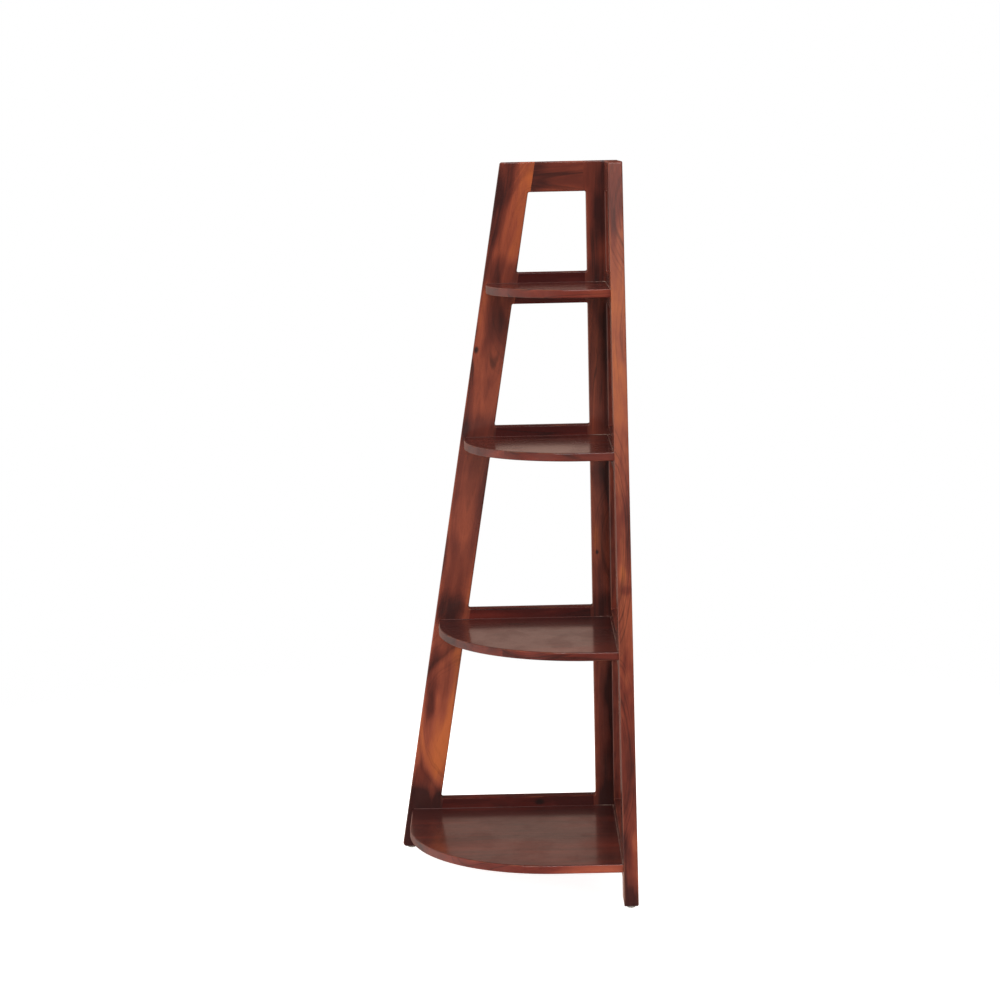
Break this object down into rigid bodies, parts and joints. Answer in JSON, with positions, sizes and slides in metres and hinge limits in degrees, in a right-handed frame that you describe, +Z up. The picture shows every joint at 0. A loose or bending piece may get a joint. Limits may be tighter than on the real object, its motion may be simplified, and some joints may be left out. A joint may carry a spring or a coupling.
{
  "type": "corner ladder shelf",
  "caption": "Free-standing corner shelf unit: two tapering ladder frames at a right angle with quarter-round wooden shelves between them.",
  "frame": {"origin": "middle of the overall footprint, on the floor under the glides", "axes": "+Z up; -Y is the front; +Y is the wall behind the back frame; +X is the wall beside the side frame"},
  "size_m": [0.5036, 0.5036, 1.524],
  "materials": {
    "frame_wood": "gloss lacquered, reddish brown stain",
    "shelf_wood": "gloss lacquered, dark reddish brown stain",
    "glide_nylon": "matt moulded nylon",
    "screw_steel": "zinc-plated steel"
  },
  "bodies": {
    "root": {"back_ladder_stile": "frame_wood", "back_corner_stile": "frame_wood", "back_top_rail": "frame_wood", "side_ladder_stile": "frame_wood", "side_corner_stile": "frame_wood", "side_top_rail": "frame_wood", "back_shelf_rail_1": "frame_wood", "back_shelf_rail_2": "frame_wood", "back_shelf_rail_3": "frame_wood", "back_shelf_rail_4": "frame_wood", "side_shelf_rail_1": "frame_wood", "side_shelf_rail_2": "frame_wood", "side_shelf_rail_3": "frame_wood", "side_shelf_rail_4": "frame_wood", "shelf_1_board_1": "shelf_wood", "shelf_1_board_2": "shelf_wood", "shelf_1_board_3": "shelf_wood", "shelf_2_board_1": "shelf_wood", "shelf_2_board_2": "shelf_wood", "shelf_2_board_3": "shelf_wood", "shelf_3_board_1": "shelf_wood", "shelf_3_board_2": "shelf_wood", "shelf_3_board_3": "shelf_wood", "shelf_3_board_4": "shelf_wood", "shelf_4_board_1": "shelf_wood", "shelf_4_board_2": "shelf_wood", "shelf_4_board_3": "shelf_wood", "shelf_4_board_4": "shelf_wood", "glide_back_ladder": "glide_nylon", "glide_back_corner": "glide_nylon", "glide_side_corner": "glide_nylon", "glide_side_ladder": "glide_nylon", "shelf_screws_back": "screw_steel", "shelf_screws_side": "screw_steel", "corner_screws": "screw_steel", "glide_nails": "screw_steel"}
  },
  "joints": []
}
